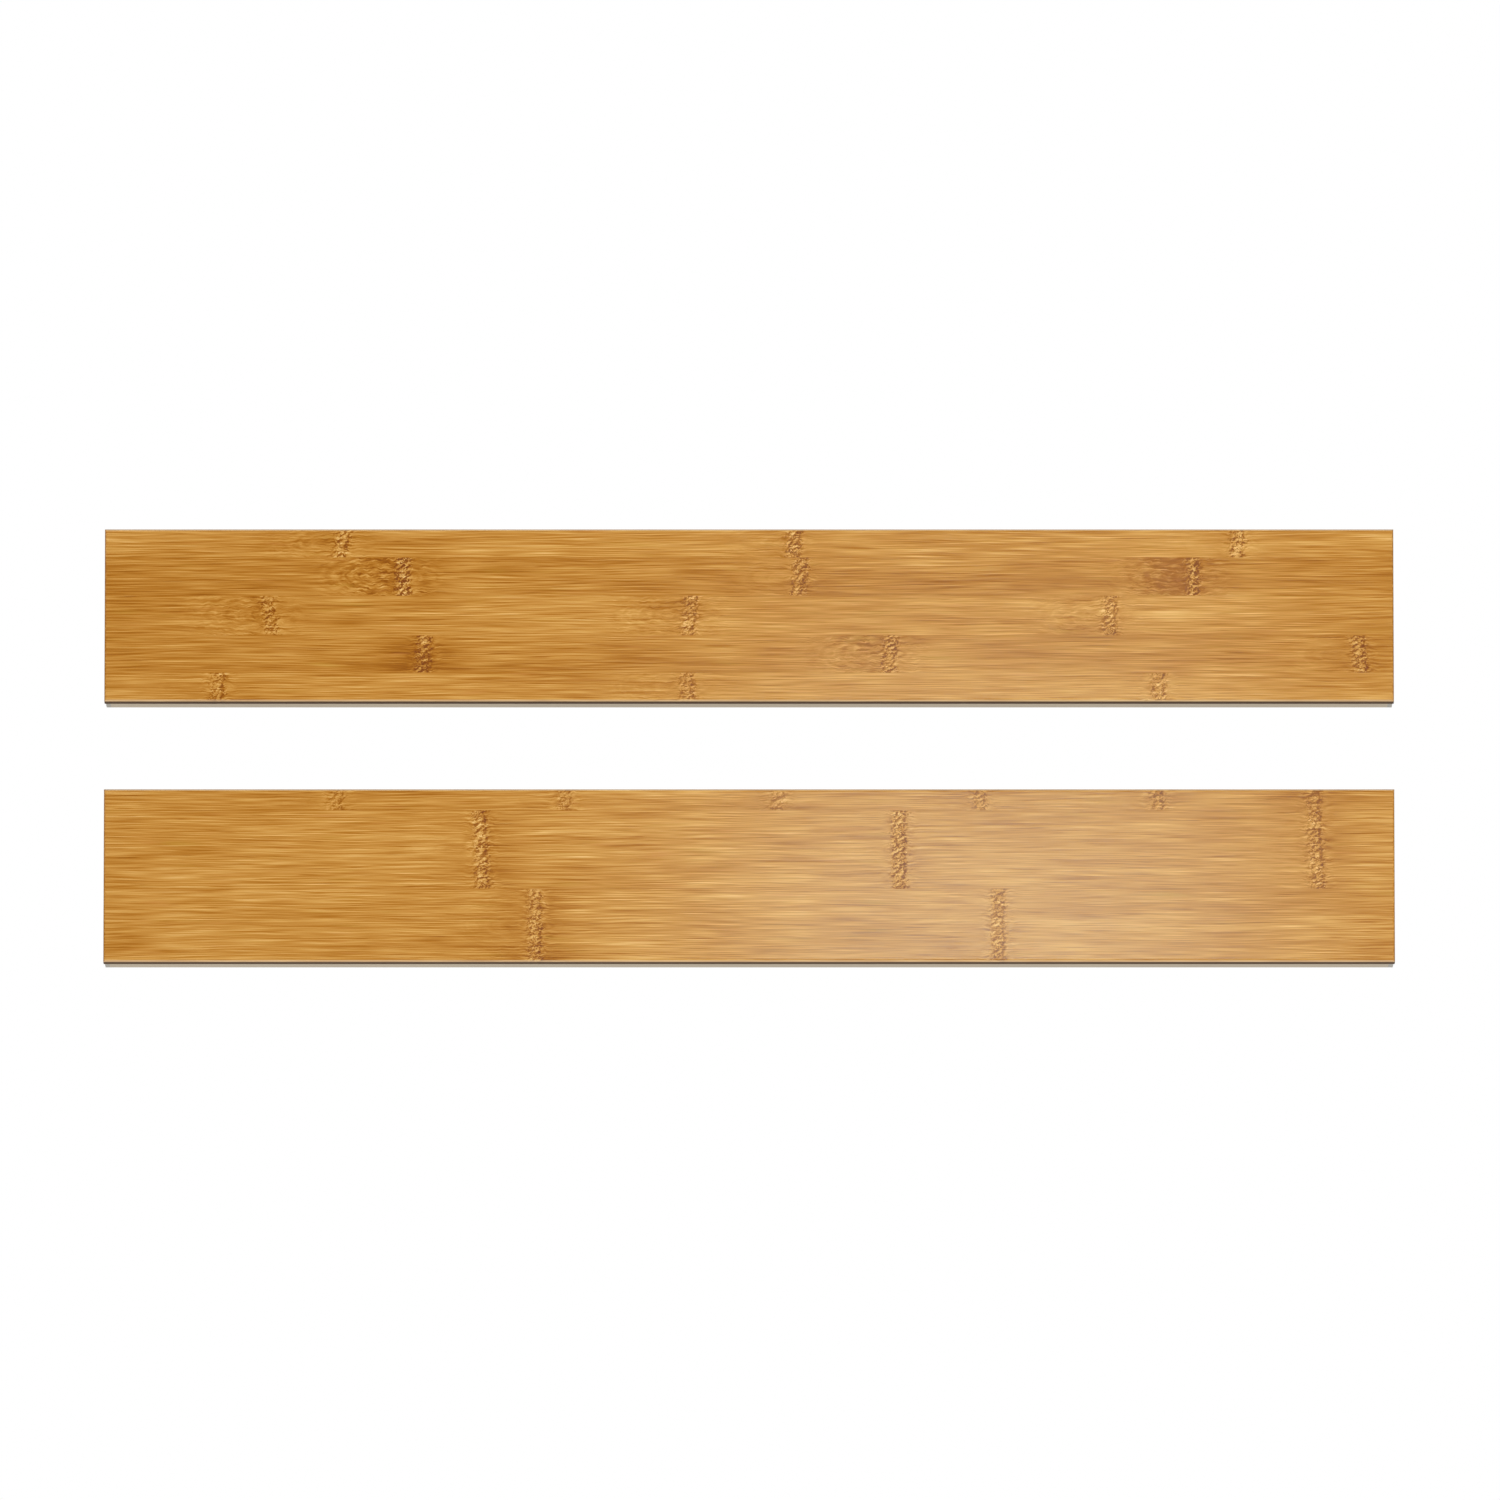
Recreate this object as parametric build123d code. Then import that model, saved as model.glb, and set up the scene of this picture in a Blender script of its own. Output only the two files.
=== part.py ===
from build123d import *
import os

# A set of two magnetic knife racks, one above the other, hung on four wall screws.
#
# Each rack is a laminated bamboo face on a shallow aluminium channel. Behind the face a row of
# block magnets sits in blind pockets, on a steel keeper strip that is screwed to the channel's
# base. Foam bonding tape joins the face to the channel and the keeper. Two keyholes in the
# channel's base hang the rack on the wall screws.
#
# X runs along the racks, +Y points into the wall and Z is up. The origin is the centre of the
# four wall screws, on the wall's face. All sizes are in millimetres.

# ---- Driving dimensions ----

RACK_LENGTH = 450.0
RACK_HEIGHT = 60.8
RACK_PITCH = 91.7  # from one rack's centre line to the other's

# Heights of the bamboo strips in each face, from the top down
UPPER_STRIPS = (10.0, 13.5, 14.0, 13.2, 10.1)
LOWER_STRIPS = (7.5, 27.6, 25.7)

# Layers of a rack, from the wall out
PAD_THICKNESS = 1.0
CHANNEL_DEPTH = 9.5
TAPE_THICKNESS = 1.5
FACE_THICKNESS = 6.0

FACE_ROUND = 0.9  # radius of the face's front edges
TAPE_INSET_X = 0.6
TAPE_INSET_Z = 0.3
TAPE_MAGNET_GAP = 0.4  # round each magnet
TAPE_SCREW_GAP = 1.0  # round each channel screw
CHANNEL_INSET_X = 0.4  # to the outside of the end caps
CHANNEL_INSET_Z = 0.2

CHANNEL_WALL = 2.0
CHANNEL_ROUND = 1.0
CHANNEL_LIP = 9.0  # height of each front lip, its wall included
CAP_THICKNESS = 1.6
CAP_PLUG_LENGTH = 8.0
CAP_PLUG_WALL = 1.5
CAP_PLUG_CLEARANCE = 0.1

MAGNET_LENGTH = 30.0
MAGNET_HEIGHT = 20.0
MAGNET_THICKNESS = 5.0
MAGNET_EDGE = 0.5
MAGNET_COUNT = 10
MAGNET_PITCH = 42.0
POCKET_CLEARANCE = 0.2

KEEPER_LENGTH = 430.0
KEEPER_HEIGHT = 24.0
KEEPER_THICKNESS = 2.0
KEEPER_CORNER = 3.0

SPACER_RADIUS = 4.0
SCREW_RADIUS = 2.0  # M4
SCREW_LENGTH = 10.0
SCREW_HEAD_RADIUS = 3.6
SCREW_TIP_CHAMFER = 0.4
SCREW_RECESS_DEPTH = 1.2
SCREW_XS = (-168.0, -84.0, 0.0, 84.0, 168.0)
THREAD_GAP = 0.02
HOLE_CLEARANCE = 0.15

RECESS_ARM = 4.4  # the cross in the head of every screw, from tip to tip
RECESS_WIDTH = 1.0

PAD_RADIUS = 6.0
PAD_EDGE = 0.3
PAD_X = 205.0
PAD_Z = 20.0

WALL_SCREW_X = 150.0
WALL_SCREW_NECK_RADIUS = 1.9  # in front of the wall, in the keyhole's slot
WALL_SCREW_SHANK_RADIUS = 2.25  # in the wall, and over the thread's crests
WALL_SCREW_CORE_RADIUS = 1.6
WALL_SCREW_HEAD_RADIUS = 4.0
WALL_SCREW_HEAD_HEIGHT = 3.0
WALL_SCREW_HEAD_ROUND = 1.3
WALL_SCREW_RECESS_DEPTH = 1.8
WALL_SCREW_HEAD_GAP = 0.3  # from the head to the channel's base
WALL_SCREW_SHANK_LENGTH = 4.0  # how far the plain shank runs into the wall
WALL_SCREW_THREAD_PITCH = 1.6
WALL_SCREW_THREADS = 15
WALL_SCREW_ROOT = (0.3, 0.7)  # where the thread's root lies, as shares of a pitch
WALL_SCREW_TIP = 4.0

KEYHOLE_ENTRY_RADIUS = 4.5
KEYHOLE_SLOT_RADIUS = 2.3
KEYHOLE_DROP = 8.0  # from the slot's top centre down to the entry's centre
KEYHOLE_HANG_GAP = 0.05  # left above the screw's neck when the rack hangs

# ---- Places worked out from them ----

CHANNEL_BACK = -PAD_THICKNESS
CHANNEL_FRONT = CHANNEL_BACK - CHANNEL_DEPTH
BASE_INSIDE = CHANNEL_BACK - CHANNEL_WALL
TAPE_FRONT = CHANNEL_FRONT - TAPE_THICKNESS
FACE_FRONT = TAPE_FRONT - FACE_THICKNESS
KEEPER_BACK = CHANNEL_FRONT + KEEPER_THICKNESS
MAGNET_FRONT = CHANNEL_FRONT - MAGNET_THICKNESS

CAP_OUTSIDE = RACK_LENGTH / 2 - CHANNEL_INSET_X
CAP_INSIDE = CAP_OUTSIDE - CAP_THICKNESS
CHANNEL_HEIGHT = RACK_HEIGHT - 2 * CHANNEL_INSET_Z
CAVITY_HEIGHT = CHANNEL_HEIGHT - 2 * CHANNEL_WALL
CAVITY_DEPTH = CHANNEL_DEPTH - 2 * CHANNEL_WALL
CHANNEL_MIDDLE = (CHANNEL_BACK + CHANNEL_FRONT) / 2

MAGNET_XS = [MAGNET_PITCH * (i - (MAGNET_COUNT - 1) / 2) for i in range(MAGNET_COUNT)]

# The neck hangs just under the top of its slot, level with the rack's centre line.
SLOT_TOP_Z = KEYHOLE_SLOT_RADIUS - WALL_SCREW_NECK_RADIUS - KEYHOLE_HANG_GAP
ENTRY_Z = SLOT_TOP_Z - KEYHOLE_DROP


# ---- Basic shapes ----


def slab(length, height, back, front, x=0.0, z=0.0):
    """A box from the plane y = back out to y = front, centred on x and z."""
    return Pos(x, (back + front) / 2, z) * Box(length, back - front, height)


def rod(radius, back, front, x=0.0, z=0.0):
    """A cylinder along Y from the plane y = back out to y = front."""
    return Pos(x, (back + front) / 2, z) * Rot(90, 0, 0) * Cylinder(radius, back - front)


def cone(back_radius, front_radius, back, front, x=0.0, z=0.0):
    """A cone along Y, with one radius at y = back and the other at y = front."""
    body = Cone(back_radius, front_radius, back - front)
    return Pos(x, (back + front) / 2, z) * Rot(90, 0, 0) * body


def cross_recess(back, front, x=0.0, z=0.0):
    """The cross that a screwdriver turns: two short slots at right angles."""
    across = slab(RECESS_ARM, RECESS_WIDTH, back, front, x, z)
    upright = slab(RECESS_WIDTH, RECESS_ARM, back, front, x, z)
    return across + upright


# ---- The bamboo face ----


def face_board():
    """The whole glued-up face, with rounded front edges and blind magnet pockets behind."""
    board = slab(RACK_LENGTH, RACK_HEIGHT, TAPE_FRONT, FACE_FRONT)
    board = fillet(board.faces().sort_by(Axis.Y)[0].edges(), FACE_ROUND)
    pocket_length = MAGNET_LENGTH + 2 * POCKET_CLEARANCE
    pocket_height = MAGNET_HEIGHT + 2 * POCKET_CLEARANCE
    pocket_front = MAGNET_FRONT - POCKET_CLEARANCE
    for x in MAGNET_XS:
        board -= slab(pocket_length, pocket_height, TAPE_FRONT, pocket_front, x)
    return board


def face_strips(heights):
    """The face cut into its strips along the glue lines, from the top down."""
    board = face_board()
    strips = []
    top = RACK_HEIGHT / 2
    for height in heights:
        middle = top - height / 2
        strips.append(board & slab(RACK_LENGTH, height, TAPE_FRONT, FACE_FRONT, 0, middle))
        top -= height
    return strips


# ---- Bonding tape, channel and end caps ----


def bonding_tape():
    """One sheet of foam tape with a window for each magnet and for each screw's tip."""
    length = RACK_LENGTH - 2 * TAPE_INSET_X
    height = RACK_HEIGHT - 2 * TAPE_INSET_Z
    tape = slab(length, height, CHANNEL_FRONT, TAPE_FRONT)
    window_length = MAGNET_LENGTH + 2 * TAPE_MAGNET_GAP
    window_height = MAGNET_HEIGHT + 2 * TAPE_MAGNET_GAP
    for x in MAGNET_XS:
        tape -= slab(window_length, window_height, CHANNEL_FRONT, TAPE_FRONT, x)
    for x in SCREW_XS:
        tape -= rod(SCREW_RADIUS + TAPE_SCREW_GAP, CHANNEL_FRONT, TAPE_FRONT, x)
    return tape


def channel_outline():
    """The channel's outside section, which the end caps share."""
    outline = RectangleRounded(CHANNEL_DEPTH, CHANNEL_HEIGHT, CHANNEL_ROUND)
    return Plane.YZ * Pos(CHANNEL_MIDDLE, 0) * outline


def keyhole(x):
    """A round entry for the screw's head with a narrow slot above it for the neck."""
    back = CHANNEL_BACK
    front = BASE_INSIDE
    slot_middle = (SLOT_TOP_Z + ENTRY_Z) / 2
    hole = rod(KEYHOLE_ENTRY_RADIUS, back, front, x, ENTRY_Z)
    hole += slab(2 * KEYHOLE_SLOT_RADIUS, KEYHOLE_DROP, back, front, x, slot_middle)
    hole += rod(KEYHOLE_SLOT_RADIUS, back, front, x, SLOT_TOP_Z)
    return hole


def countersunk_hole(x):
    """A clearance hole in the channel's base, opened out for a countersunk head."""
    radius = SCREW_RADIUS + HOLE_CLEARANCE
    sink_radius = SCREW_HEAD_RADIUS + HOLE_CLEARANCE
    sink_front = CHANNEL_BACK - (sink_radius - radius)
    hole = rod(radius, CHANNEL_BACK, BASE_INSIDE, x)
    return hole + cone(sink_radius, radius, CHANNEL_BACK, sink_front, x)


def channel():
    """The lipped aluminium channel: base to the wall, two flanges and two front lips."""
    cavity = Rectangle(CAVITY_DEPTH, CAVITY_HEIGHT)
    mouth = Rectangle(CHANNEL_WALL, CHANNEL_HEIGHT - 2 * CHANNEL_LIP)
    section = channel_outline()
    section -= Plane.YZ * Pos(CHANNEL_MIDDLE, 0) * cavity
    section -= Plane.YZ * Pos(CHANNEL_FRONT + CHANNEL_WALL / 2, 0) * mouth
    body = extrude(section, CAP_INSIDE, both=True)
    for x in (-WALL_SCREW_X, WALL_SCREW_X):
        body -= keyhole(x)
    for x in SCREW_XS:
        body -= countersunk_hole(x)
    return body


def end_cap(side):
    """A moulded cap: a plate over the channel's end and a hollow plug inside it."""
    plate = extrude(channel_outline(), CAP_THICKNESS)
    plug_depth = CAVITY_DEPTH - 2 * CAP_PLUG_CLEARANCE
    plug_height = CAVITY_HEIGHT - 2 * CAP_PLUG_CLEARANCE
    plug = Rectangle(plug_depth, plug_height)
    plug -= Rectangle(plug_depth - 2 * CAP_PLUG_WALL, plug_height - 2 * CAP_PLUG_WALL)
    tongue = extrude(Plane.YZ * Pos(CHANNEL_MIDDLE, 0) * plug, -CAP_PLUG_LENGTH)
    cap = Pos(CAP_INSIDE, 0, 0) * (plate + tongue)
    if side < 0:
        cap = mirror(cap, Plane.YZ)
    return cap


# ---- Magnets, keeper strip and what holds it ----


def magnet(x):
    """A nickel-plated block magnet with eased edges."""
    block = slab(MAGNET_LENGTH, MAGNET_HEIGHT, CHANNEL_FRONT, MAGNET_FRONT, x)
    return fillet(block.edges(), MAGNET_EDGE)


def keeper():
    """The steel strip behind the magnets, with a tapped hole for each screw."""
    strip = slab(KEEPER_LENGTH, KEEPER_HEIGHT, KEEPER_BACK, CHANNEL_FRONT)
    strip = fillet(strip.edges().filter_by(Axis.Y), KEEPER_CORNER)
    for x in SCREW_XS:
        strip -= rod(SCREW_RADIUS + THREAD_GAP, KEEPER_BACK, CHANNEL_FRONT, x)
    return strip


def spacer(x):
    """A nylon tube that holds the keeper off the channel's base."""
    tube = rod(SPACER_RADIUS, BASE_INSIDE, KEEPER_BACK, x)
    return tube - rod(SCREW_RADIUS + HOLE_CLEARANCE, BASE_INSIDE, KEEPER_BACK, x)


def channel_screw(x):
    """A countersunk machine screw through the base, a spacer and the keeper."""
    tip = CHANNEL_BACK - SCREW_LENGTH
    head_front = CHANNEL_BACK - (SCREW_HEAD_RADIUS - SCREW_RADIUS)
    screw = rod(SCREW_RADIUS, CHANNEL_BACK, tip, x)
    screw += cone(SCREW_HEAD_RADIUS, SCREW_RADIUS, CHANNEL_BACK, head_front, x)
    screw = chamfer(screw.faces().sort_by(Axis.Y)[0].edges(), SCREW_TIP_CHAMFER)
    return screw - cross_recess(CHANNEL_BACK, CHANNEL_BACK - SCREW_RECESS_DEPTH, x)


def pad(x, z):
    """A rubber foot that stands the channel off the wall."""
    disc = rod(PAD_RADIUS, 0, CHANNEL_BACK, x, z)
    return fillet(disc.faces().sort_by(Axis.Y)[-1].edges(), PAD_EDGE)


# ---- Wall screws ----


def wall_screw(x, z):
    """A pan-head wood screw, its head in front of the channel's base, its thread in the wall."""
    head_back = BASE_INSIDE - WALL_SCREW_HEAD_GAP
    head_front = head_back - WALL_SCREW_HEAD_HEIGHT
    outline = [
        (0, head_front),
        (WALL_SCREW_HEAD_RADIUS, head_front),
        (WALL_SCREW_HEAD_RADIUS, head_back),
        (WALL_SCREW_NECK_RADIUS, head_back),
        (WALL_SCREW_NECK_RADIUS, 0),
        (WALL_SCREW_SHANK_RADIUS, 0),
        (WALL_SCREW_SHANK_RADIUS, WALL_SCREW_SHANK_LENGTH),
    ]
    for turn in range(WALL_SCREW_THREADS):
        start = WALL_SCREW_SHANK_LENGTH + turn * WALL_SCREW_THREAD_PITCH
        for share in WALL_SCREW_ROOT:
            outline.append((WALL_SCREW_CORE_RADIUS, start + share * WALL_SCREW_THREAD_PITCH))
        outline.append((WALL_SCREW_SHANK_RADIUS, start + WALL_SCREW_THREAD_PITCH))
    thread_end = WALL_SCREW_SHANK_LENGTH + WALL_SCREW_THREADS * WALL_SCREW_THREAD_PITCH
    outline.append((0, thread_end + WALL_SCREW_TIP))
    screw = revolve(make_face(Polyline(*outline, close=True)), Axis.Y)
    screw = fillet(screw.faces().sort_by(Axis.Y)[0].edges(), WALL_SCREW_HEAD_ROUND)
    screw -= cross_recess(head_front + WALL_SCREW_RECESS_DEPTH, head_front)
    return Pos(x, 0, z) * screw


# ---- Assembly ----


def rack_parts(heights):
    """Every sub-part of one rack, by name, with the rack's centre line at z = 0."""
    parts = {f"face_strip_{i}": strip for i, strip in enumerate(face_strips(heights), 1)}
    parts["bonding_tape"] = bonding_tape()
    parts["channel"] = channel()
    parts["end_cap_left"] = end_cap(-1)
    parts["end_cap_right"] = end_cap(1)
    for i, x in enumerate(MAGNET_XS, 1):
        parts[f"magnet_{i:02d}"] = magnet(x)
    parts["keeper"] = keeper()
    parts["spacers"] = Compound([spacer(x) for x in SCREW_XS])
    parts["channel_screws"] = Compound([channel_screw(x) for x in SCREW_XS])
    corners = [(x, z) for x in (-PAD_X, PAD_X) for z in (-PAD_Z, PAD_Z)]
    parts["wall_pads"] = Compound([pad(x, z) for x, z in corners])
    return parts


os.makedirs("parts", exist_ok=True)

RACKS = {
    "upper": (RACK_PITCH / 2, UPPER_STRIPS),
    "lower": (-RACK_PITCH / 2, LOWER_STRIPS),
}
SIDES = {"left": -WALL_SCREW_X, "right": WALL_SCREW_X}

for rack, (centre_z, heights) in RACKS.items():
    for name, shape in rack_parts(heights).items():
        export_step(Pos(0, 0, centre_z) * shape, f"parts/{rack}_{name}.step")
    for side, screw_x in SIDES.items():
        export_step(wall_screw(screw_x, centre_z), f"parts/wall_screw_{rack}_{side}.step")
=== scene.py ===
import math
from typing import NamedTuple

import bpy
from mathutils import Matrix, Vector


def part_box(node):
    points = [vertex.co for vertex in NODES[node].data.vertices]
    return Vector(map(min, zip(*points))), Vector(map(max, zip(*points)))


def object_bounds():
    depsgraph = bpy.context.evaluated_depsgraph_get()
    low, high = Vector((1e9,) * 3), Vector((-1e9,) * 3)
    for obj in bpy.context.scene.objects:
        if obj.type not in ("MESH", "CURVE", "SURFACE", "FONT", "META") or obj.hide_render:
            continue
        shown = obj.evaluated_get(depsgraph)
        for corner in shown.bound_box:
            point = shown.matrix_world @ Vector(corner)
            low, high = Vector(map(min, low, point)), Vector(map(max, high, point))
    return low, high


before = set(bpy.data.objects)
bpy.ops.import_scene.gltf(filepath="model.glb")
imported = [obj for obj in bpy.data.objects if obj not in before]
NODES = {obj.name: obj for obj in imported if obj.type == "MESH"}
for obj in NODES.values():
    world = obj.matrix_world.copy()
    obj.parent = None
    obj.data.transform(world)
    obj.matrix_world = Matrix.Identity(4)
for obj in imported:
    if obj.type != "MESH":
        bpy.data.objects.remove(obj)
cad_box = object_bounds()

# Two bamboo-faced magnetic knife racks on their wall screws. The shapes are the frame's own; this
# script gives every one of them its material, and sets the light and the camera.
# Lengths inside the materials are in millimetres, everything else is in metres.

MM = 1000.0
NOISE_SPREAD = 4.0  # stretches Blender's noise, 0.5 in the middle, to about -1 to 1
WHITE = (1.0, 1.0, 1.0)


# ---- Node graphs ----


def linear(red, green, blue):
    """A display colour, 0 to 255, as the linear colour that shaders use."""
    def channel(value):
        value /= 255
        return value / 12.92 if value <= 0.04045 else ((value + 0.055) / 1.055) ** 2.4
    return (channel(red), channel(green), channel(blue), 1.0)


class Graph:
    """One material's node tree. Values are sockets or plain numbers."""

    def __init__(self, name):
        self.material = bpy.data.materials.new(name)
        self.material.use_nodes = True
        self.tree = self.material.node_tree
        self.tree.nodes.clear()
        coordinates = self.node("ShaderNodeTexCoord")
        place = self.node("ShaderNodeVectorMath", operation="SCALE")
        self.tree.links.new(coordinates.outputs["Object"], place.inputs[0])
        place.inputs["Scale"].default_value = MM
        self.x, self.y, self.z = self.parts(place.outputs[0])
        self.normal = self.parts(coordinates.outputs["Normal"])

    def node(self, kind, **settings):
        made = self.tree.nodes.new(kind)
        for key, value in settings.items():
            setattr(made, key, value)
        return made

    def feed(self, socket, value):
        if isinstance(value, bpy.types.NodeSocket):
            self.tree.links.new(value, socket)
        else:
            socket.default_value = value

    def parts(self, vector):
        split = self.node("ShaderNodeSeparateXYZ")
        self.feed(split.inputs[0], vector)
        return tuple(split.outputs)

    def point(self, x, y, z):
        join = self.node("ShaderNodeCombineXYZ")
        for socket, value in zip(join.inputs, (x, y, z)):
            self.feed(socket, value)
        return join.outputs[0]

    def math(self, operation, *values, clamp=False):
        made = self.node("ShaderNodeMath", operation=operation, use_clamp=clamp)
        for socket, value in zip(made.inputs, values):
            self.feed(socket, value)
        return made.outputs[0]

    def add(self, *values):
        total = values[0]
        for value in values[1:]:
            total = self.math("ADD", total, value)
        return total

    def times(self, *values):
        product = values[0]
        for value in values[1:]:
            product = self.math("MULTIPLY", product, value)
        return product

    def ramp(self, value, low, high, start=0.0, end=1.0):
        """Goes smoothly from start to end as the value goes from low to high."""
        made = self.node("ShaderNodeMapRange", interpolation_type="SMOOTHSTEP")
        for socket, given in zip(made.inputs, (value, low, high, start, end)):
            self.feed(socket, given)
        return made.outputs[0]

    def noise(self, x, y, z, seed=0.0, detail=2.0, roughness=0.5):
        """Noise about zero, mostly between -1 and 1, at a point given by three values."""
        made = self.node("ShaderNodeTexNoise", noise_dimensions="4D")
        self.feed(made.inputs["Vector"], self.point(x, y, z))
        made.inputs["W"].default_value = seed
        made.inputs["Scale"].default_value = 1.0
        made.inputs["Detail"].default_value = detail
        made.inputs["Roughness"].default_value = roughness
        return self.math("MULTIPLY_ADD", made.outputs["Fac"], NOISE_SPREAD, -NOISE_SPREAD / 2)

    def grain(self, across, along=None, seed=0.0, **settings):
        """Noise in cells of one size in millimetres, or stretched along X to another."""
        x = self.math("DIVIDE", self.x, along or across)
        y = self.math("DIVIDE", self.y, across)
        z = self.math("DIVIDE", self.z, across)
        return self.noise(x, y, z, seed, **settings)

    def sheet(self, length, height, seed=0.0, **settings):
        """Noise across a strip's face, the same at every depth, with cells of this size."""
        x = self.math("DIVIDE", self.x, length)
        z = self.math("DIVIDE", self.z, height)
        return self.noise(x, 0.0, z, seed, **settings)

    def mix(self, factor, first, second, kind="RGBA"):
        made = self.node("ShaderNodeMix", data_type=kind)
        sockets = [s for s in made.inputs if s.enabled]
        for socket, value in zip(sockets, (factor, first, second)):
            self.feed(socket, value)
        return next(s for s in made.outputs if s.enabled)

    def colours(self, value, stops):
        """A colour from a value, through a list of (position, colour) stops."""
        made = self.node("ShaderNodeValToRGB")
        band = made.color_ramp
        while len(band.elements) < len(stops):
            band.elements.new(0.5)
        for element, (position, colour) in zip(band.elements, stops):
            element.position = position
            element.color = colour
        self.feed(made.inputs[0], value)
        return made.outputs["Color"]

    def bump(self, height, depth, strength=1.0):
        """A normal from a height between about -1 and 1 that stands for depth in millimetres."""
        made = self.node("ShaderNodeBump")
        made.inputs["Strength"].default_value = strength
        made.inputs["Distance"].default_value = depth / MM
        self.feed(made.inputs["Height"], height)
        return made.outputs["Normal"]

    def finish(self, colour, roughness, normal=None, **settings):
        """Ends the graph in one shader, its constant settings on the shader's own sockets."""
        shader = self.node("ShaderNodeBsdfPrincipled")
        self.feed(shader.inputs["Base Color"], colour)
        self.feed(shader.inputs["Roughness"], roughness)
        if normal is not None:
            self.feed(shader.inputs["Normal"], normal)
        for name, value in settings.items():
            shader.inputs[name.replace("_", " ")].default_value = value
        output = self.node("ShaderNodeOutputMaterial")
        self.tree.links.new(shader.outputs[0], output.inputs["Surface"])
        return self.material


# ---- Bamboo ----


class Mark(NamedTuple):
    """Where the bamboo's own node crosses a strip, and how much each of its features shows."""

    x: float  # mm
    lean: float = 0.0  # mm along X for each mm up
    strength: float = 0.8  # how clear its ridges are
    wavy: float = 0.1  # how far the fibres beside it swirl
    left: float = 0.2  # how dark it is on its left
    right: float = 0.1  # how dark it is on its right
    rose: float = 0.0  # how reddish that dark is


UPPER_MARKS = (
    (
        Mark(-142.0, 0.18, 0.9, 0.5, 0.1),
        Mark(15.6, 0.1, 1.0, 0.2),
        Mark(170.6, 0.1, 0.9),
    ),
    (
        Mark(-120.9, 0.0, 1.35, 1.0, 0.9, 0.4),
        Mark(17.6, 0.1, 0.9, 0.2, 0.2, 0.3),
        Mark(154.8, 0.0, 1.25, 0.8, 1.0, 0.3, 1.0),
    ),
    (
        Mark(-167.5, -0.1, 0.7, 0.6, 0.3),
        Mark(-20.7, 0.1, 0.8, 0.5, 0.3),
        Mark(125.9, 0.0, 0.8, 0.4, 0.35),
    ),
    (
        Mark(-113.7, 0.08, 1.0, 0.1, 1.0, 0.6),
        Mark(49.1, 0.0, 0.9, 0.7, 0.5, 0.2),
        Mark(213.1, -0.1, 0.9, 0.2, 0.4, 0.35),
    ),
    (
        Mark(-185.5, 0.1, 0.75),
        Mark(-21.6, -0.1, 0.7, 0.3),
        Mark(142.9, 0.0, 0.8),
    ),
)
LOWER_MARKS = (
    (
        Mark(-143.7, 0.1, 0.5),
        Mark(-64.5, 0.0, 0.6),
        Mark(9.8, 0.1, 0.5, 0.1, 0.3),
        Mark(80.3, -0.1, 0.7, 0.1, 0.5, 0.2),
        Mark(142.3, 0.0, 0.7, 0.1, 0.4, 0.3),
        Mark(196.9, 0.0, 0.6, 0.1, 0.2, 0.3),
    ),
    (
        Mark(-93.4, -0.05, 0.85, 0.1, 0.2, 0.6),
        Mark(52.4, 0.0, 1.1, 0.1, 0.1, 0.2),
        Mark(197.6, -0.06, 0.8, 0.1, 0.2, 0.5),
    ),
    (
        Mark(-74.6, 0.0, 0.78, 0.2, 0.5, 0.7),
        Mark(86.8, 0.0, 0.8, 0.1, 0.1, 0.1),
    ),
)

# Each strip's own tone, from -1 for the darkest to 1 for the palest
UPPER_TONES = (0.0, -1.0, -0.1, -0.8, 0.1)
LOWER_TONES = (-0.2, -0.1, 0.0)
MIDDLE_TONE = 0.65  # how pale the wood is before any layer is added, from 0 to 1
TONE_STEP = 0.085
SEEDS_PER_STRIP = 20.0

# The wood's colours, from its darkest ridges to its palest fibres
BAMBOO_STOPS = (
    (0.0, linear(128, 62, 0)),
    (0.3, linear(156, 88, 6)),
    (0.475, linear(181, 113, 30)),
    (0.65, linear(202, 138, 58)),
    (0.825, linear(222, 163, 84)),
    (1.0, linear(246, 196, 124)),
)
BAMBOO_ROSE = linear(206, 134, 66)
BAMBOO_OLIVE = linear(190, 142, 48)
GLUE_LINE = linear(172, 102, 6)
ROSE_SHADE = linear(162, 92, 24)
# Paler rounded edges: partly wear, partly a painted highlight
EDGE_WORN_AND_HIGHLIGHT = linear(244, 214, 172)
# Painted shade on the face's underside, which also darkens its ends and top a little
SIDE_DARK_AND_PAINTED_SHADE = linear(62, 40, 20)

# Fibres, dashes and bands of colour: width and length, in mm
STRANDS = (1.9, 90.0)
FINE_FIBRES = (0.38, 26.0)
BROAD_BANDS = (5.0, 120.0)
CURLED_FIBRES = (0.62, 5.0)
DARK_DASHES = (0.4, 16.0)
PALE_DASHES = (0.42, 11.0)
ROSY_BANDS = (2.2, 22.0)
OLIVE_BANDS = (3.0, 26.0)

# How far the fibres stray across the strip, in mm
SLOW_STRAY = 0.9
SWIRL_STRAY = 0.8
CURL_STRAY = 0.34
RIPPLE_STRAY = 0.08

# Round a mark: how far from its middle each thing starts and is at its full, in mm
SWIRL_NEAR = (9.0, 2.0)
SWIRL_LEFT = (-36.0, -14.0)
SWIRL_RIGHT = (18.0, 6.0)
SHADE_LEFT = (-24.0, -3.0)
SHADE_RIGHT = (20.0, 4.0)
RIDGES_EDGE = (4.0, 1.1)

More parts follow.
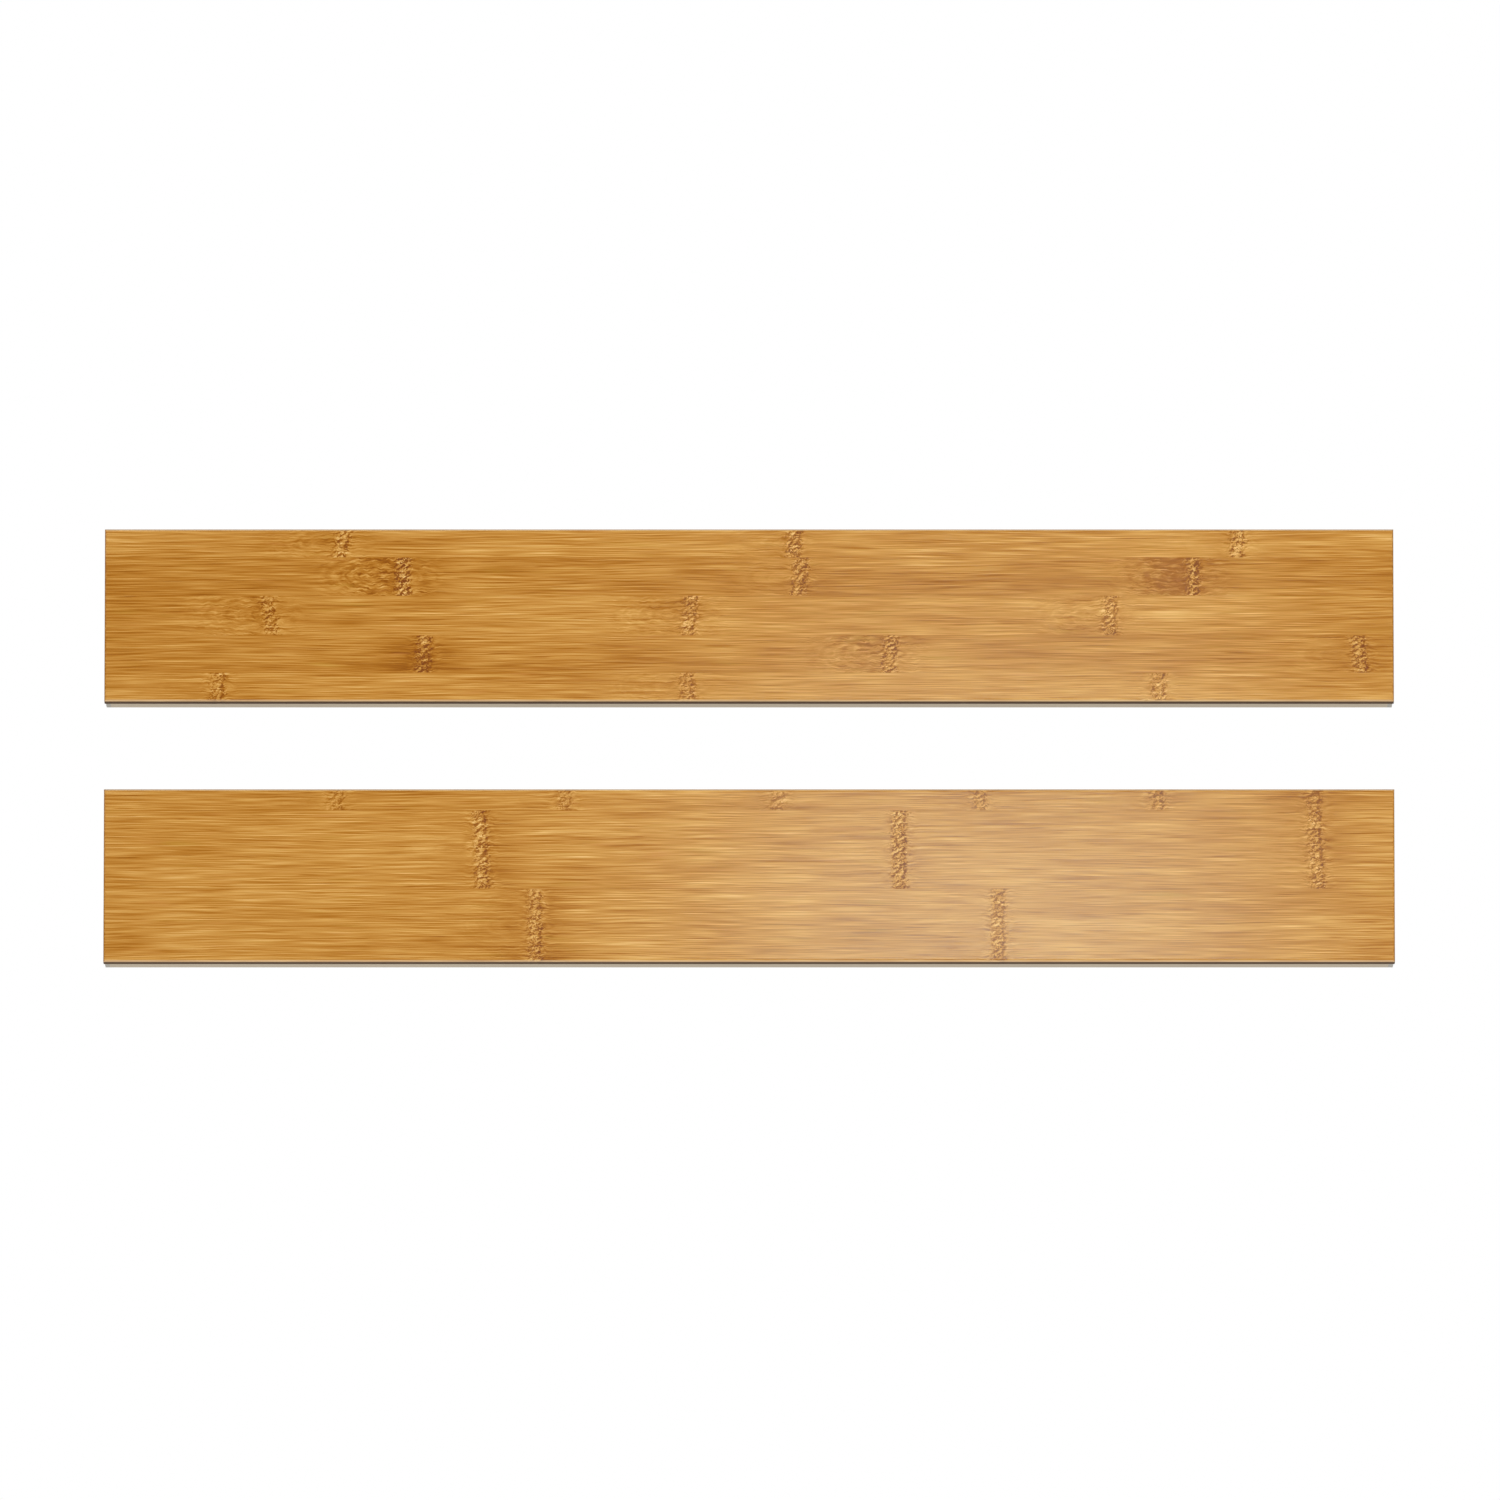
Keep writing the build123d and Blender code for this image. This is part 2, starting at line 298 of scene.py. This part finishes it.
# The features of a mark, in mm
MARK_WANDER = 0.6
RING_SQUEEZE = 0.24  # a ring's height for each mm of its length
RING_WIDTH = 0.55
RING_RAGGED = 0.28
RIDGE_LENGTH = 1.7
RIDGE_HEIGHT = 0.85
RIDGE_BEND = 0.9
RIDGE_SIDES = 0.25  # from a ridge to its pale side, up and to the left, and to its dark one: a painted highlight and painted shade, as if lit from the upper left
BAND_RAGGED = 1.3
SEAM_OFFSET = 1.7
SEAM_WIND = 0.9
SEAM_EDGE = (0.7, 0.1)

# From the edge of a strip to where its glue line starts, and is at its full, in mm
GLUE_REACH = 0.45
GLUE_FULL = 0.05

FACE_DEPTH_CELL = 0.5
GRAIN_DEPTH = 0.05
LACQUER_ROUGHNESS = 0.22
LACQUER_SPECULAR = 0.2


class Bamboo(Graph):
    """One laminated strip: fibres that run along X and crowd round the marks.

    Every layer of noise has its own seed, counted from the strip's. Only the wander of the marks
    is one and the same for all strips.
    """

    def __init__(self, name, middle, half, marks, seed):
        super().__init__(name)
        self.middle = middle
        self.half = half
        self.seed = seed
        self.above = self.math("SUBTRACT", self.z, middle)
        self.find_mark(marks)
        self.lay_fibres()

    def find_mark(self, marks):
        """Finds the signed distance to the nearest mark, and that mark's own values, at every point."""
        wander = self.times(self.sheet(40.0, 2.2, seed=9.0), MARK_WANDER)
        found = None
        for mark in marks:
            line = self.math("MULTIPLY_ADD", self.above, mark.lean, mark.x)
            distance = self.add(self.math("SUBTRACT", self.x, line), wander)
            ridges = self.point(distance, mark.strength, mark.wavy)
            shades = self.point(mark.left, mark.right, mark.rose)
            away = self.math("ABSOLUTE", distance)
            if found is None:
                found = (ridges, shades)
                nearest = away
                continue
            closer = self.math("LESS_THAN", away, nearest)
            nearest = self.math("MINIMUM", away, nearest)
            here = (ridges, shades)
            found = tuple(self.mix(closer, *pair, "VECTOR") for pair in zip(found, here))
        self.distance, self.strength, self.wavy = self.parts(found[0])
        self.left, self.right, self.rose = self.parts(found[1])
        self.away = self.math("ABSOLUTE", self.distance)

    def lay_fibres(self):
        """Bends the fibres: they wander slowly, and swirl near a mark and beside a wavy one."""
        distance = self.distance
        near = self.ramp(self.away, *SWIRL_NEAR)
        on_left = self.times(self.ramp(distance, *SWIRL_LEFT), self.ramp(distance, -1.0, -5.0))
        on_right = self.times(self.ramp(distance, *SWIRL_RIGHT), self.ramp(distance, 1.0, 4.0), 0.7)
        beside = self.times(self.add(on_left, on_right), self.wavy)
        self.stir = self.math("MAXIMUM", self.times(near, 0.8), beside)

        slow = self.times(self.grain(16.0, 130.0, self.seed), SLOW_STRAY)
        swirl = self.times(self.sheet(5.0, 3.0, self.seed + 1.0), SWIRL_STRAY)
        curl = self.times(self.sheet(1.9, 1.3, self.seed + 17.0), CURL_STRAY)
        ripple = self.times(self.sheet(9.0, 2.0, self.seed + 18.0), RIPPLE_STRAY)
        swirl = self.times(self.add(swirl, curl), self.stir)
        self.across = self.add(self.z, slow, swirl, ripple)
        self.deep_y = self.math("DIVIDE", self.y, FACE_DEPTH_CELL)
        self.strands = self.fibres(STRANDS, 2.0, detail=2.0, roughness=0.95)
        self.fine = self.fibres(FINE_FIBRES, 3.0, detail=1.0, roughness=0.9)
        self.curled = self.fibres(CURLED_FIBRES, 19.0, detail=1.0)

    def fibres(self, size, offset, **settings):
        """Noise stretched along the bent fibres."""
        width, length = size
        x = self.math("DIVIDE", self.x, length)
        z = self.math("DIVIDE", self.across, width)
        return self.noise(x, self.deep_y, z, self.seed + offset, **settings)

    def rings(self):
        """The long ragged rings that the fibres close into round a mark."""
        high = self.math("SUBTRACT", self.across, self.middle)
        wide = self.times(self.distance, RING_SQUEEZE)
        ring = self.math("SQRT", self.add(self.times(high, high), self.times(wide, wide)))
        ring = self.add(ring, self.times(self.grain(1.4, 3.2, self.seed + 14.0), RING_RAGGED))
        x = self.math("DIVIDE", self.x, 9.0)
        z = self.math("DIVIDE", ring, RING_WIDTH)
        return self.noise(x, self.deep_y, z, self.seed + 6.0, detail=1.0)

    def wood(self, tone):
        """How pale the plain wood is: the last number of each row is that layer's share."""
        straight = self.math("MULTIPLY_ADD", self.stir, -0.6, 1.0, clamp=True)
        broad = self.fibres(BROAD_BANDS, 4.0, detail=1.0)
        patches = self.grain(22.0, 90.0, self.seed + 5.0, detail=1.0)
        dark_dash = self.ramp(self.fibres(DARK_DASHES, 7.0, detail=1.0), 0.45, 1.0)
        pale_dash = self.ramp(self.fibres(PALE_DASHES, 8.0, detail=1.0), 0.6, 1.1)
        return self.add(
            MIDDLE_TONE + TONE_STEP * tone,
            self.times(self.strands, straight, 0.15),
            self.times(self.fine, straight, 0.29),
            self.times(self.rings(), self.stir, 0.2),
            self.times(self.curled, self.stir, 0.27),
            self.times(broad, 0.065),
            self.times(patches, 0.065),
            self.times(dark_dash, -0.25),
            self.times(pale_dash, 0.08),
        )

    def shade(self):
        """The streaky darker wood on either side of a mark."""
        distance = self.distance
        ragged = self.add(distance, self.times(self.strands, 3.0))
        left = self.times(self.left, self.ramp(ragged, *SHADE_LEFT), self.ramp(distance, 0.5, -2.5))
        right = self.times(self.right, self.ramp(ragged, *SHADE_RIGHT), self.ramp(distance, -0.5, 2.5))
        curled = self.times(self.curled, self.stir, -0.6)
        streaks = self.add(0.85, curled, self.times(self.strands, -0.3))
        return self.math("MAXIMUM", self.times(self.add(left, right), streaks), 0.0, clamp=True)

    def ridges(self, shift):
        """The short jagged ridges of the marks, moved by so much to the left and up."""
        bent = self.times(self.grain(1.0, seed=self.seed + 11.0, detail=1.0), RIDGE_BEND)
        x = self.math("DIVIDE", self.add(self.x, bent, shift), RIDGE_LENGTH)
        z = self.math("DIVIDE", self.add(self.z, bent, -shift), RIDGE_HEIGHT)
        return self.noise(x, 0.0, z, self.seed + 20.0, detail=1.0)

    def seam(self):
        """The broken dark seam that winds down the right of a mark."""
        z = self.math("DIVIDE", self.z, 0.9)
        wind = self.times(self.noise(0.0, 0.0, z, self.seed + 15.0, detail=1.0), SEAM_WIND)
        off = self.math("ABSOLUTE", self.add(self.distance, wind, -SEAM_OFFSET))
        broken = self.ramp(self.grain(1.5, seed=self.seed + 16.0), -0.5, 0.5)
        return self.times(self.ramp(off, *SEAM_EDGE), self.strength, broken)

    def tinted(self, colour, off_mark, shade):
        """Rosy and olive bands in the wood, away from the marks, and the reddish shade beside some."""
        rosy = self.ramp(self.fibres(ROSY_BANDS, 9.0, detail=1.0), 0.4, 1.4, 0.0, 0.5)
        colour = self.mix(self.times(rosy, off_mark), colour, BAMBOO_ROSE)
        olive = self.ramp(self.fibres(OLIVE_BANDS, 10.0, detail=1.0), 0.4, 1.4, 0.0, 0.4)
        colour = self.mix(self.times(olive, off_mark), colour, BAMBOO_OLIVE)
        return self.mix(self.times(self.rose, shade, 0.5), colour, ROSE_SHADE)

    def edged(self, colour, side):
        """Glue lines, paler worn front edges with a painted highlight, painted shade on the underside,
        and the ends and top darkened a little.
        """
        from_middle = self.math("ABSOLUTE", self.above)
        glue = self.ramp(from_middle, self.half - GLUE_REACH, self.half - GLUE_FULL)
        broken = self.ramp(self.grain(3.0, 30.0, self.seed + 13.0), -0.6, 0.6)
        colour = self.mix(self.times(glue, broken, 0.5), colour, GLUE_LINE)
        up = self.math("ABSOLUTE", self.normal[2])
        # Rounded edges made paler: partly wear, partly a painted highlight
        worn_and_highlight = self.times(self.ramp(up, 0.2, 0.6), self.math("MULTIPLY_ADD", self.fine, 0.12, 0.5))
        colour = self.mix(worn_and_highlight, colour, EDGE_WORN_AND_HIGHLIGHT)
        # Painted shade on the underside; the ends and top darkened a little
        return self.mix(self.times(side, 0.9), colour, SIDE_DARK_AND_PAINTED_SHADE)

    def lacquered(self, tone):
        """The finished material, under satin lacquer."""
        shade = self.shade()
        # The ridges painted as if lit from the upper left: painted highlight on their upper-left sides,
        # painted shade on their lower-right ones
        painted_emboss = self.math("SUBTRACT", self.ridges(-RIDGE_SIDES), self.ridges(RIDGE_SIDES))
        hollow = self.ridges(0.0)
        edge = self.add(self.away, self.times(self.grain(1.3, seed=self.seed + 12.0), BAND_RAGGED))
        band = self.times(self.ramp(edge, *RIDGES_EDGE), self.strength)
        # The ridges' own dark, together with their painted shade
        dark_and_painted_shade = self.ramp(self.add(painted_emboss, self.times(hollow, 0.3)), 0.05, -0.45)
        # The ridges' painted highlight
        pale = self.ramp(painted_emboss, 0.05, 0.6)
        value = self.add(
            self.wood(tone),
            self.times(shade, -0.22),
            self.times(dark_and_painted_shade, band, -0.46),
            self.times(pale, band, 0.22),
            self.times(self.seam(), -0.42),
        )

        out = self.math("ABSOLUTE", self.normal[0])
        # The underside, where the shade is painted
        under = self.ramp(self.normal[2], -0.92, -0.99)
        ends_and_top = self.ramp(self.math("MAXIMUM", out, self.normal[2]), 0.5, 0.98, 0.0, 0.4)
        side = self.math("MAXIMUM", under, ends_and_top)
        off_mark = self.math("SUBTRACT", 1.0, band, clamp=True)
        colour = self.tinted(self.colours(value, BAMBOO_STOPS), off_mark, shade)
        colour = self.edged(colour, side)

        roughness = self.add(
            LACQUER_ROUGHNESS,
            self.times(self.fine, 0.03),
            self.times(band, 0.08),
            self.times(side, 0.6),
        )
        height = self.add(
            self.times(self.strands, 0.25),
            self.times(self.fine, 0.2),
            self.times(hollow, band, 0.25),
        )
        normal = self.bump(height, GRAIN_DEPTH, 0.6)
        return self.finish(colour, roughness, normal, Specular_IOR_Level=LACQUER_SPECULAR)


def dress(node, material):
    """Gives a CAD node its one material."""
    slots = NODES[node].data.materials
    slots.clear()
    slots.append(material)


def dress_face(rack, first_seed, tones, all_marks):
    """Gives each strip of a rack's face its own bamboo."""
    for number, (tone, marks) in enumerate(zip(tones, all_marks), 1):
        node = f"{rack}_face_strip_{number}"
        low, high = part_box(node)
        middle = MM * (low.z + high.z) / 2
        half = MM * (high.z - low.z) / 2
        seed = first_seed + SEEDS_PER_STRIP * number
        strip = Bamboo(f"{rack}_bamboo_{number}", middle, half, marks, seed)
        dress(node, strip.lacquered(tone))


# ---- Metals, plastics and rubber ----


def brushed_aluminium():
    g = Graph("brushed_aluminium")
    lines = g.grain(0.5, 90.0, seed=1.0, detail=3.0, roughness=0.8)
    cloud = g.grain(18.0, 60.0, seed=2.0)
    value = g.add(0.5, g.times(lines, 0.2), g.times(cloud, 0.14))
    colour = g.colours(value, ((0.0, linear(188, 172, 148)), (1.0, linear(236, 220, 194))))
    roughness = g.add(0.48, g.times(lines, 0.05), g.times(cloud, 0.03))
    return g.finish(colour, roughness, g.bump(lines, 0.02, 0.5), Metallic=1.0)


def moulded_plastic(name, dark, light, roughness=0.5, cell=0.35, depth=0.03):
    g = Graph(name)
    spark = g.grain(cell, seed=3.0, detail=2.0)
    cloud = g.grain(9.0, seed=4.0)
    value = g.add(0.5, g.times(spark, 0.12), g.times(cloud, 0.15))
    colour = g.colours(value, ((0.0, dark), (1.0, light)))
    rough = g.add(roughness, g.times(spark, 0.05), g.times(cloud, 0.03))
    return g.finish(colour, rough, g.bump(spark, depth, 0.7))


def plated_steel(name, dark, light, roughness):
    g = Graph(name)
    crystals = g.grain(1.6, seed=5.0, detail=3.0, roughness=0.6)
    scuffs = g.ramp(g.grain(0.2, 4.0, seed=6.0), 0.8, 1.4)
    value = g.add(0.5, g.times(crystals, 0.2), g.times(scuffs, 0.2))
    colour = g.colours(value, ((0.0, dark), (1.0, light)))
    rough = g.add(roughness, g.times(crystals, 0.05), g.times(scuffs, 0.12))
    return g.finish(colour, rough, g.bump(crystals, 0.015, 0.5), Metallic=1.0)


def foam():
    g = Graph("foam_tape")
    cells = g.grain(0.25, seed=7.0, detail=3.0, roughness=0.7)
    value = g.math("MULTIPLY_ADD", cells, 0.25, 0.5)
    colour = g.colours(value, ((0.0, linear(16, 13, 11)), (1.0, linear(52, 44, 36))))
    return g.finish(colour, 0.9, g.bump(cells, 0.08, 0.8))


PLASTIC = moulded_plastic("grey_plastic", linear(172, 166, 154), linear(196, 190, 178))
NYLON = moulded_plastic("nylon", linear(216, 212, 198), linear(238, 234, 222), 0.42, cell=0.6, depth=0.02)
RUBBER = moulded_plastic("rubber", linear(26, 26, 28), linear(48, 48, 50), 0.75, cell=0.25, depth=0.05)
ZINC = plated_steel("zinc_steel", linear(150, 152, 156), linear(196, 198, 200), 0.34)
NICKEL = plated_steel("nickel", linear(186, 180, 168), linear(220, 214, 202), 0.16)
MATERIALS = {
    "channel": brushed_aluminium(),
    "channel_screws": ZINC,
    "end_cap_left": PLASTIC,
    "end_cap_right": PLASTIC,
    "bonding_tape": foam(),
    "keeper": ZINC,
    "magnet": NICKEL,
    "spacers": NYLON,
    "wall_pads": RUBBER,
}

for rack, first_seed, tones, marks in (
    ("upper", 0.0, UPPER_TONES, UPPER_MARKS),
    ("lower", 200.0, LOWER_TONES, LOWER_MARKS),
):
    dress_face(rack, first_seed, tones, marks)
    for node in NODES:
        if node.startswith(rack + "_"):
            kind = node.removeprefix(rack + "_")
            kind = "magnet" if kind.startswith("magnet") else kind
            if kind in MATERIALS:
                dress(node, MATERIALS[kind])
for node in NODES:
    if node.startswith("wall_screw_"):
        dress(node, ZINC)


# ---- Floor, light and camera ----

FLOOR_Z = -2.3
FLOOR_SIZE = 60.0
FLOOR_CLOUD = 400.0  # mm
FLOOR_GLOW = 0.22  # keeps the floor pale where the lamps don't reach
SKY_SEEN = 1.0  # what the camera sees behind the racks
SKY_LIGHT = 0.37  # what lights them
CAMERA_AIM = Vector((0.0003, cad_box[0].y, -0.0017))
CAMERA_DISTANCE = 8.0
CAMERA_REACH = 100.0
CAMERA_BELOW = math.radians(8.2)
SENSOR_WIDTH = 36.0  # mm
VIEW_WIDTH = 0.5232  # what the picture's width takes in at the racks' front
SHEEN_WIDTH = 0.19
SHEEN_COLOUR = (0.72, 1.0, 1.0)


def floor():
    half = FLOOR_SIZE / 2
    mesh = bpy.data.meshes.new("floor")
    corners = ((-half, -half), (half, -half), (half, half), (-half, half))
    mesh.from_pydata([(x, y, FLOOR_Z) for x, y in corners], [], [(0, 1, 2, 3)])
    made = bpy.data.objects.new("floor", mesh)
    bpy.context.scene.collection.objects.link(made)
    g = Graph("floor")
    cloud = g.math("MULTIPLY_ADD", g.grain(FLOOR_CLOUD), 0.1, 0.5)
    colour = g.colours(cloud, ((0.0, linear(248, 248, 248)), (1.0, linear(252, 252, 252))))
    glow = {"Emission_Color": (*WHITE, 1.0), "Emission_Strength": FLOOR_GLOW}
    mesh.materials.append(g.finish(colour, 0.8, **glow))


def softbox(name, place, aim, size, watts, colour=WHITE):
    """A soft lamp that lights the racks and isn't seen itself."""
    light = bpy.data.lights.new(name, "AREA")
    light.shape = "RECTANGLE"
    light.size, light.size_y = size
    light.energy = watts
    light.color = colour
    made = bpy.data.objects.new(name, light)
    made.location = place
    made.rotation_mode = "QUATERNION"
    made.rotation_quaternion = (Vector(aim) - Vector(place)).to_track_quat("-Z", "Y")
    made.visible_camera = False
    bpy.context.scene.collection.objects.link(made)


def sky():
    """A white surround that looks brighter to the camera than it is as a light."""
    world = bpy.data.worlds.new("studio")
    world.use_nodes = True
    tree = world.node_tree
    seen = tree.nodes["Background"]
    lit = tree.nodes.new("ShaderNodeBackground")
    for background, strength in ((seen, SKY_SEEN), (lit, SKY_LIGHT)):
        background.inputs["Color"].default_value = (*WHITE, 1.0)
        background.inputs["Strength"].default_value = strength
    ray = tree.nodes.new("ShaderNodeLightPath")
    mix = tree.nodes.new("ShaderNodeMixShader")
    tree.links.new(ray.outputs["Is Camera Ray"], mix.inputs[0])
    tree.links.new(lit.outputs[0], mix.inputs[1])
    tree.links.new(seen.outputs[0], mix.inputs[2])
    tree.links.new(mix.outputs[0], tree.nodes["World Output"].inputs["Surface"])
    bpy.context.scene.world = world
    bpy.context.scene.view_settings.view_transform = "Standard"


def studio():
    sky()
    centre = (0.0, 0.0, 0.0)
    softbox("key", (-2.2, -2.6, 2.2), centre, (3.4, 3.4), 44.0)
    softbox("fill", (2.4, -2.6, 1.6), centre, (3.4, 3.4), 40.0)
    softbox("rear", (1.6, 3.0, 1.8), centre, (2.8, 2.8), 34.0)
    # The sheen right of the middle, on the lower rack and, fainter, on the upper one
    low = (0.095, -0.7, 0.005)
    high = (0.095, -0.7, 0.118)
    softbox("sheen", low, (0.09, 0.0, -0.085), (SHEEN_WIDTH, 0.11), 1.18, SHEEN_COLOUR)
    softbox("sheen_high", high, (0.09, 0.0, 0.02), (SHEEN_WIDTH, 0.04), 0.24, SHEEN_COLOUR)


def camera():
    data = bpy.data.cameras.new("camera")
    data.sensor_width = SENSOR_WIDTH
    data.lens = data.sensor_width * CAMERA_DISTANCE / VIEW_WIDTH
    made = bpy.data.objects.new("camera", data)
    away = Vector((0.0, -math.cos(CAMERA_BELOW), -math.sin(CAMERA_BELOW)))
    made.location = CAMERA_AIM + away * CAMERA_DISTANCE
    made.rotation_mode = "QUATERNION"
    made.rotation_quaternion = (-away).to_track_quat("-Z", "Y")
    data.clip_end = CAMERA_REACH
    bpy.context.scene.collection.objects.link(made)
    bpy.context.scene.camera = made


floor()
studio()
camera()
